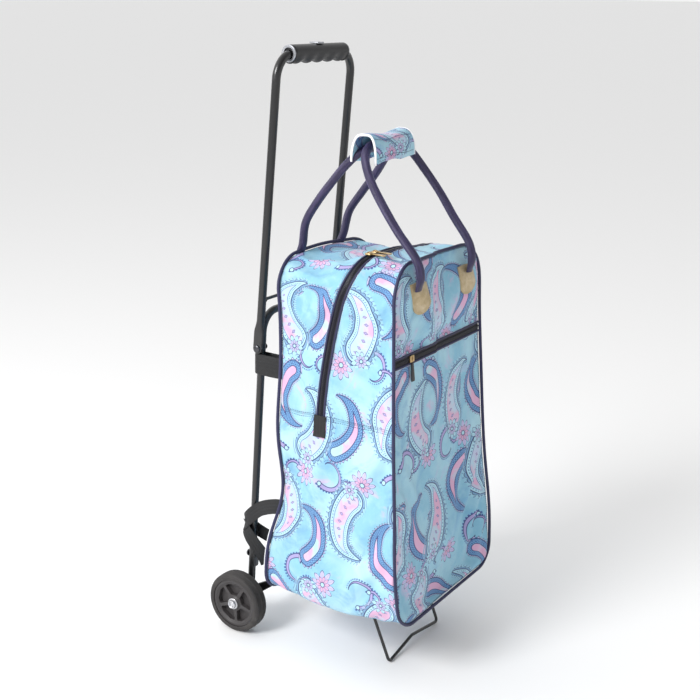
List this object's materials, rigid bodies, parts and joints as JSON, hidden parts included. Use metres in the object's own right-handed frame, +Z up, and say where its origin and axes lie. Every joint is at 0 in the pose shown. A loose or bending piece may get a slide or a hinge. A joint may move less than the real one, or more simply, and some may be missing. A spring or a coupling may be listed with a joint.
{
  "type": "folding shopping trolley",
  "caption": "Soft patterned shopping bag with carry straps, strapped to a black tube frame with a fold-down handle, a hinged wire shelf and wheels.",
  "frame": {"origin": "floor, under the middle of the trolley's box", "axes": "+Z up along the height, X along the wheel axle, the bag's front faces -Y"},
  "size_m": [0.2906, 0.3676, 0.935],
  "materials": {
    "frame_black": "satin black paint",
    "steel": "zinc plated steel",
    "black_plastic": "matt",
    "grip_plastic": "satin moulded",
    "silver_plastic": "silver grey",
    "wheel_plastic": "moulded, fine texture",
    "tyre": "matt, ribbed shoulder",
    "printed_fabric": "polyester canvas printed with paisley line art in navy and pink on aqua",
    "zip_tape": "woven tape with coil teeth",
    "board": "grey stiffener board",
    "piping": "navy corded piping",
    "leather": "tan with a gold sheen",
    "strap_fabric": "dark purple-navy satin over a soft core",
    "webbing": "black ribbed webbing",
    "brass": "antique brass"
  },
  "bodies": {
    "frame": {"lower_frame": "frame_black", "strap_anchor_left": "frame_black", "strap_anchor_right": "frame_black", "pivot_rivet_left": "steel", "axle_cap_left": "steel", "anchor_rivet_left": "steel", "pivot_rivet_right": "steel", "axle_cap_right": "steel", "anchor_rivet_right": "steel", "axle": "steel", "pivot_spacer_left": "black_plastic", "axle_spacer_left": "black_plastic", "pivot_spacer_right": "black_plastic", "axle_spacer_right": "black_plastic", "upper_webbing_left": "webbing", "lower_webbing_left": "webbing", "upper_webbing_right": "webbing", "lower_webbing_right": "webbing"},
    "handle": {"upper_handle": "frame_black", "handle_cross_rod": "frame_black", "grip_upper_shell": "grip_plastic", "grip_lower_shell": "grip_plastic", "grip_plaque": "silver_plastic", "grip_end_ring_left": "silver_plastic", "grip_end_ring_right": "silver_plastic"},
    "wheel_left": {"wheel_hub_left": "wheel_plastic", "tyre_left": "tyre"},
    "wheel_right": {"wheel_hub_right": "wheel_plastic", "tyre_right": "tyre"},
    "shelf": {"hinge_arm_left": "frame_black", "hinge_arm_right": "frame_black", "shelf_wire": "frame_black"},
    "bag": {"front_panel": "printed_fabric", "back_panel": "printed_fabric", "front_gusset": "printed_fabric", "rear_gusset": "printed_fabric", "main_zip_tape": "zip_tape", "lower_side_left": "printed_fabric", "lower_side_right": "printed_fabric", "bottom_panel": "printed_fabric", "base_board": "board", "front_pocket": "printed_fabric", "pocket_zip_tape": "zip_tape", "front_piping": "piping", "rear_piping": "piping", "front_tab_left": "leather", "front_tab_right": "leather", "rear_tab_left": "leather", "rear_tab_right": "leather", "front_carry_strap": "strap_fabric", "rear_carry_strap": "strap_fabric", "strap_wrap": "printed_fabric", "zip_end_tab_left": "webbing", "zip_end_tab_right": "webbing"},
    "top_slider_left": {"top_slider_left": "brass"},
    "top_puller_left": {"top_puller_left": "brass"},
    "top_slider_right": {"top_slider_right": "brass"},
    "top_puller_right": {"top_puller_right": "brass"},
    "pocket_slider": {"pocket_slider": "brass"},
    "pocket_puller": {"pocket_puller": "webbing"}
  },
  "joints": [
    {"name": "handle_fold", "type": "hinge", "parent": "frame", "child": "handle", "pos_m": [0, 0.11069, 0.478], "axis": [-1, 0, 0], "range_deg": [0, 155]},
    {"name": "wheel_left_spin", "type": "hinge", "parent": "frame", "child": "wheel_left", "pos_m": [-0.125, 0.1338, 0.05], "axis": [1, 0, 0], "continuous": true},
    {"name": "wheel_right_spin", "type": "hinge", "parent": "frame", "child": "wheel_right", "pos_m": [0.125, 0.1338, 0.05], "axis": [1, 0, 0], "continuous": true},
    {"name": "bag_lift", "type": "slide", "parent": "frame", "child": "bag", "axis": [0, -0.0761, 0.9971], "range_m": [0, 0.4]},
    {"name": "shelf_fold", "type": "hinge", "parent": "frame", "child": "shelf", "pos_m": [0, 0.1338, 0.05], "axis": [-1, 0, 0], "range_deg": [0, 75]},
    {"name": "top_slider_left_slide", "type": "slide", "parent": "bag", "child": "top_slider_left", "axis": [-1, 0, 0], "range_m": [0, 0.008]},
    {"name": "top_slider_right_slide", "type": "slide", "parent": "bag", "child": "top_slider_right", "axis": [1, 0, 0], "range_m": [0, 0.135]},
    {"name": "pocket_slider_slide", "type": "slide", "parent": "bag", "child": "pocket_slider", "axis": [1, 0, 0], "range_m": [0, 0.2]},
    {"name": "top_puller_left_flip", "type": "hinge", "parent": "top_slider_left", "child": "top_puller_left", "pos_m": [-0.078, -0.07782, 0.6471], "axis": [-1, 0, 0], "range_deg": [0, 90]},
    {"name": "top_puller_right_flip", "type": "hinge", "parent": "top_slider_right", "child": "top_puller_right", "pos_m": [-0.062, -0.07782, 0.6471], "axis": [-1, 0, 0], "range_deg": [0, 90]},
    {"name": "pocket_puller_swing", "type": "hinge", "parent": "pocket_slider", "child": "pocket_puller", "pos_m": [-0.08, -0.15002, 0.4975], "axis": [-1, 0, 0], "range_deg": [0, 90]}
  ],
  "couplings": [
    {"joint": "shelf_fold", "follows": "bag_lift", "rad_per_m": 3.2}
  ]
}
